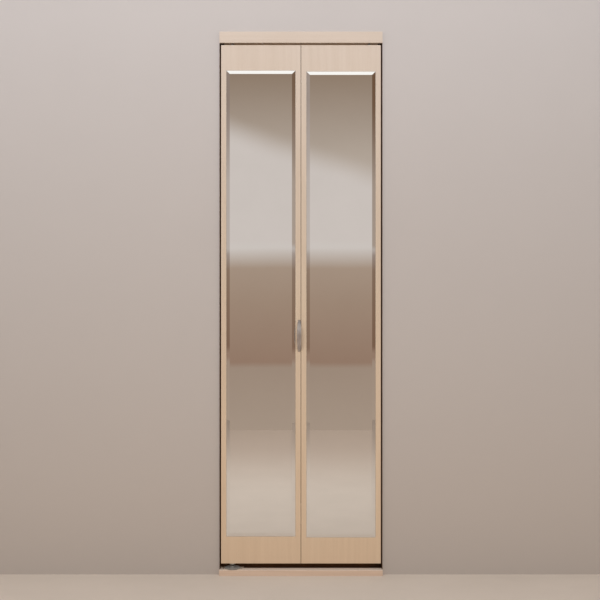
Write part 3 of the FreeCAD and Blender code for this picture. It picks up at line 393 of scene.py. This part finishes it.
ASSIGN = {
    "header_fascia": "fascia", "sill_board": "sill",
    "left_front_skin": "front_l", "right_front_skin": "front_r", "left_back_skin": "back_l", "right_back_skin": "back_r",
    "left_outer_stile": "stile_l", "left_inner_stile": "stile_l", "right_outer_stile": "stile_r", "right_inner_stile": "stile_r",
    "left_top_rail": "rail", "left_bottom_rail": "rail", "right_top_rail": "rail", "right_bottom_rail": "rail",
    "left_core_board": "core", "right_core_board": "core", "left_dowels": "dowel", "right_dowels": "dowel",
    "left_mirror": "mirror", "right_mirror": "mirror", "left_mirror_mastic": "mastic", "right_mirror_mastic": "mastic",
    # sill_liner_strip: a dark bronze strip on the sill under the panels, painted shade where the panels shade the sill
    "head_channel": "head", "left_jamb_liner": "bronze", "right_jamb_liner": "bronze", "side_return_strips": "bronze", "sill_back_strip": "bronze", "sill_liner_strip": "bronze",
    "top_track": "track", "top_pivot_bracket": "track", "pivot_base_plate": "enamel",
    "height_adjuster_wheel": "wheel", "bottom_pivot_stud": "stud", "top_pivot_pin": "zinc", "top_guide_pin": "zinc",
    "top_pivot_sleeve": "zinc", "top_guide_sleeve": "zinc", "track_rivets": "screw", "fascia_screws": "screw",
    "top_bracket_lock_screw": "screw", "sill_strip_screws": "screw", "pivot_plate_screws": "screw", "handle_bolts": "screw",
    "hinge_pins": "screw", "hinge_screws_left": "screw", "hinge_screws_right": "screw", "pull_handle": "pull",
    "top_pivot_spring": "spring", "top_guide_spring": "spring", "top_pivot_socket": "nylon", "bottom_pivot_bush": "nylon",
    "top_guide_roller": "nylon",
}
for h in ("bottom", "middle", "top"):
    ASSIGN["hinge_leaf_left_" + h] = "hinge"
    ASSIGN["hinge_leaf_right_" + h] = "hinge"


def paint(node, key):
    o = N[node]
    if not o.data.materials:
        o.data.materials.append(M[key])
    for i in range(len(o.material_slots)):
        o.material_slots[i].link = "OBJECT"
        o.material_slots[i].material = M[key]


for node in N:
    if node not in ASSIGN:
        raise SystemExit("no finish for " + node)
    paint(node, ASSIGN[node])


def soften(node, width, segments=2, angle=35.0):
    """Rounds the machined edges of a carried-over piece."""
    o = N[node]
    w = o.modifiers.new("weld", "WELD")
    w.merge_threshold = 0.000005
    d = o.modifiers.new("flat", "DECIMATE")
    d.decimate_type = "DISSOLVE"
    d.angle_limit = math.radians(0.4)
    b = o.modifiers.new("edge", "BEVEL")
    b.width = width
    b.segments = segments
    b.limit_method = "ANGLE"
    b.angle_limit = math.radians(angle)
    b.use_clamp_overlap = True
    b.harden_normals = False


soften("pull_handle", 0.0016, 3, 30.0)


def coil(name, node, body):
    """The coil spring round a spring-loaded pin: a copy of the spring's mesh in the spring finish, riding on the panel
    body in place of the hidden node.
    """
    o = bpy.data.objects.new(name, N[node].data.copy())
    scene.collection.objects.link(o)
    o.data.materials.clear()
    o.data.materials.append(M["spring"])
    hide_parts(node)
    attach(o, body)
    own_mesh(o)


coil("pivot_spring_coil", "top_pivot_spring", "pivot_panel")
coil("guide_spring_coil", "top_guide_spring", "lead_panel")

# ------------------------------------------------------------------ stage: floor, wall, soft reflector
def plane(name, pts, mat):
    me = bpy.data.meshes.new(name)
    me.from_pydata([Vector(p) for p in pts], [], [tuple(range(len(pts)))])
    o = bpy.data.objects.new(name, me)
    scene.collection.objects.link(o)
    me.materials.append(mat)
    return o


def one_sided(name, light, dark, rough, z0=None, z1=None, low=None, far=None):
    """Stage surface that is clear from behind. low paints shade into it, darker and warmer towards z0; far mixes a
    darker zone into the floor in front.
    """
    t = Tree(name)
    v = t.coords((1, 1, 1))
    n = t.noise(v, 3.0, 5.0, 0.6)
    col = t.ramp(n, [(0.3, lin(dark)), (0.7, lin(light))])
    # painted shade: the colour runs towards low, darker and warmer, from z1 down to z0
    if low is not None:
        sep = t.new("ShaderNodeSeparateXYZ")
        t.link(v, sep.inputs[0])
        f = t.remap(sep.outputs["Z"], z0, z1, 1.0, 0.0)
        col = t.mix(f, col, lin(low))
    if far is not None:
        sep = t.new("ShaderNodeSeparateXYZ")
        t.link(v, sep.inputs[0])
        near = t.remap(sep.outputs["Y"], -1.6, -3.9, 0.0, 1.0, True)
        past = t.remap(sep.outputs["Y"], -5.0, -6.6, 1.0, 0.0, True)
        col = t.mix(t.math("MULTIPLY", near, past), col, lin(far))
    t.link(col, t.p.inputs["Base Color"])
    t.setp(Roughness=rough)
    t.p.inputs["Specular IOR Level"].default_value = 0.2
    geo = t.new("ShaderNodeNewGeometry")
    clear = t.new("ShaderNodeBsdfTransparent")
    ms = t.new("ShaderNodeMixShader")
    t.link(geo.outputs["Backfacing"], ms.inputs[0])
    t.link(t.p.outputs[0], ms.inputs[1])
    t.link(clear.outputs[0], ms.inputs[2])
    t.link(ms.outputs[0], t.out.inputs["Surface"])
    return t.mat


wall_mat = one_sided("stage_wall", (204, 198, 196), (202, 196, 194), 0.9, 0.0, 2.1, (184, 173, 164))
floor_mat = one_sided("stage_floor", (219, 206, 193), (214, 201, 188), 0.7, far=(194, 176, 161))
WY, HX, HZ = -0.003, 0.3056, 2.032
walls = [plane("wall_left", [(-9, WY, 0), (-HX, WY, 0), (-HX, WY, 4.4), (-9, WY, 4.4)], wall_mat)]
walls.append(plane("wall_right", [(HX, WY, 0), (9, WY, 0), (9, WY, 4.4), (HX, WY, 4.4)], wall_mat))
walls.append(plane("wall_top", [(-HX, WY, HZ), (HX, WY, HZ), (HX, WY, 4.4), (-HX, WY, 4.4)], wall_mat))
ground = plane("floor", [(-14, -12, 0), (14, -12, 0), (14, 12, 0), (-14, 12, 0)], floor_mat)

# behind the opening, a dark sheet with a fixed dim glow stands in for the closet's shade: painted shade, seen only
# through the gaps or an open door
t = Tree("stage_closet")
geo = t.new("ShaderNodeNewGeometry")
closet_shade_glow = t.new("ShaderNodeEmission")
closet_shade_glow.inputs["Color"].default_value = (0.030, 0.020, 0.013, 1.0)
clear = t.new("ShaderNodeBsdfTransparent")
ms = t.new("ShaderNodeMixShader")
t.link(geo.outputs["Backfacing"], ms.inputs[0])
t.link(closet_shade_glow.outputs[0], ms.inputs[1])
t.link(clear.outputs[0], ms.inputs[2])
t.link(ms.outputs[0], t.out.inputs["Surface"])
closet = plane("closet", [(-0.318, 0.048, -0.001), (0.318, 0.048, -0.001), (0.318, 0.048, 2.03), (-0.318, 0.048, 2.03)], t.mat)
closet.visible_diffuse = False
closet.visible_glossy = False
closet.visible_shadow = False

# card far in front of the door, seen only by reflections; its bands and tones are set after the photo's mirrors
# painted reflection: this glowing card is seen only in the mirrors, bevels and gloss, and its bands are painted light
# and shade
t = Tree("stage_card")
v = t.coords((1, 1, 1))
sep = t.new("ShaderNodeSeparateXYZ")
t.link(v, sep.inputs[0])
wob = t.math("SUBTRACT", t.noise(v, 0.9, 3.0, 0.5), 0.5)
z = t.math("MULTIPLY_ADD", wob, 0.04, sep.outputs["Z"])
low = t.ramp(t.math("DIVIDE", z, 2.0), [(0.0, lin((168, 150, 135))), (0.246, lin((160, 141, 126))), (0.268, lin((150, 124, 107))),
                                        (0.50, lin((160, 138, 121))), (0.64, lin((168, 148, 132))), (0.72, lin((208, 200, 195)))])
wide = t.math("ABSOLUTE", sep.outputs["X"])
# upper wall: pale, with the soft edge of a slanting patch of light, darker above it
slant = t.math("MULTIPLY_ADD", sep.outputs["X"], 0.34, t.math("MULTIPLY_ADD", wob, 0.14, sep.outputs["Z"]))
shade = t.remap(slant, 2.07, 2.33, 0.0, 1.0, True)
up = t.mix(t.remap(sep.outputs["Z"], 2.0, 2.85, 0.0, 1.0), lin((188, 175, 164)), lin((144, 125, 108)))
high = t.mix(shade, lin((207, 198, 193)), up)
grad = t.mix(t.remap(z, 1.46, 1.50, 0.0, 1.0), low, high)
# the far sides are dimmer up high, painted shade; the top glows white, a painted bright reflection for the sheen on the
# upper wood and the top bevels
side = t.remap(wide, 1.4, 2.65, 0.0, 1.0)
side_h = t.ramp(t.math("DIVIDE", z, 3.0), [(0.0, g(0.0)), (0.19, g(0.0)), (0.21, g(0.60)), (0.472, g(0.55)), (0.488, g(0.30)), (0.68, g(0.34)), (0.90, g(0.74))])
side = t.math("MULTIPLY", side, t.remap(sep.outputs["X"], -1.5, 1.5, 0.92, 1.08))
grad = t.mix(t.math("MULTIPLY", side, side_h), grad, lin((100, 70, 48)))
grad = t.mix(t.remap(sep.outputs["Z"], 3.15, 3.6, 0.0, 1.0, True), grad, (1.02, 1.0, 0.97, 1.0))
em = t.new("ShaderNodeEmission")
t.link(grad, em.inputs["Color"])
em.inputs["Strength"].default_value = 1.02
t.link(em.outputs[0], t.out.inputs["Surface"])
card = plane("card", [(14, -4.92, 0), (-14, -4.92, 0), (-14, -4.92, 7.5), (14, -4.92, 7.5)], t.mat)
card.visible_camera = False
card.visible_diffuse = False
card.visible_shadow = False

# ------------------------------------------------------------------ light
world = bpy.data.worlds.new("studio")
scene.world = world
world.use_nodes = True
bg = world.node_tree.nodes["Background"]
bg.inputs[0].default_value = (0.86, 0.84, 0.83, 1.0)
bg.inputs[1].default_value = 0.42


def area(name, loc, target, sx, sy, power, color=(1, 1, 1)):
    d = bpy.data.lights.new(name, "AREA")
    d.shape = "RECTANGLE"
    d.size, d.size_y = sx, sy
    d.energy = power
    d.color = color
    o = bpy.data.objects.new(name, d)
    scene.collection.objects.link(o)
    o.location = loc
    o.rotation_mode = "QUATERNION"
    o.rotation_quaternion = (Vector(target) - Vector(loc)).to_track_quat("-Z", "Y")
    return o


def gathered(name, objects):
    c = bpy.data.collections.new(name)
    for one in objects:
        c.objects.link(one)
    return c


# the walls take their light apart from the rest, without the thin shadow of the fixed frame
bodies = frame["record"]["behaviour"]["bodies"]
unit = gathered("unit_faces", [N[n] for n in N] + [o for o in scene.objects if o.name.endswith("_coil")] + [ground])
panels = gathered("panel_blocks", [N[n] for n in bodies["pivot_panel"] + bodies["lead_panel"]] + [ground])
wall_set = gathered("wall_faces", walls)
for name, loc, target, sx, sy, power, color in (
        ("key", (-0.4, -3.7, 4.2), (0.0, 0.0, 1.45), 4.5, 1.5, 148.0, (0.985, 0.99, 1.0)),
        ("fill", (0.3, -6.0, 1.1), (0.0, 0.0, 0.5), 4.0, 1.6, 17.0, (1.0, 0.88, 0.76)),
        ("uplight", (0.0, -0.75, 0.012), (0.0, -0.75, 1.0), 3.0, 0.9, 2.2, (1.0, 0.72, 0.45))):
    lamp = area(name, loc, target, sx, sy, power, color)
    lamp.visible_glossy = False
    lamp.light_linking.receiver_collection = unit
    lamp = area(name + "_wall", loc, target, sx, sy, power, color)
    lamp.visible_glossy = False
    lamp.light_linking.receiver_collection = wall_set
    lamp.light_linking.blocker_collection = panels
# a soft light behind, for the back of the unit only
rear = area("rear", (0.7, 3.4, 2.9), (0.0, 0.0, 1.0), 3.0, 2.0, 95.0, (1.0, 0.98, 0.96))
group = bpy.data.collections.new("rear_faces")
for node in N:
    if node.startswith(("left_back_skin", "right_back_skin", "hinge_", "sill_back_strip", "side_return_strips", "handle_bolts", "head_channel", "sill_strip")):
        group.objects.link(N[node])
rear.light_linking.receiver_collection = group

# ------------------------------------------------------------------ camera
cam = bpy.data.cameras.new("camera")
cam_o = bpy.data.objects.new("camera", cam)
scene.collection.objects.link(cam_o)
cam_o.location = (-0.00355, -4.4143, 1.0291)
cam_o.rotation_euler = (math.radians(90), 0, 0)
cam.sensor_width = 36.0
cam.lens = 36.0 * 4.4 / 2.2452
cam.clip_start, cam.clip_end = 0.05, 60.0
scene.camera = cam_o
scene.view_settings.view_transform = "Standard"
scene.view_settings.look = "None"
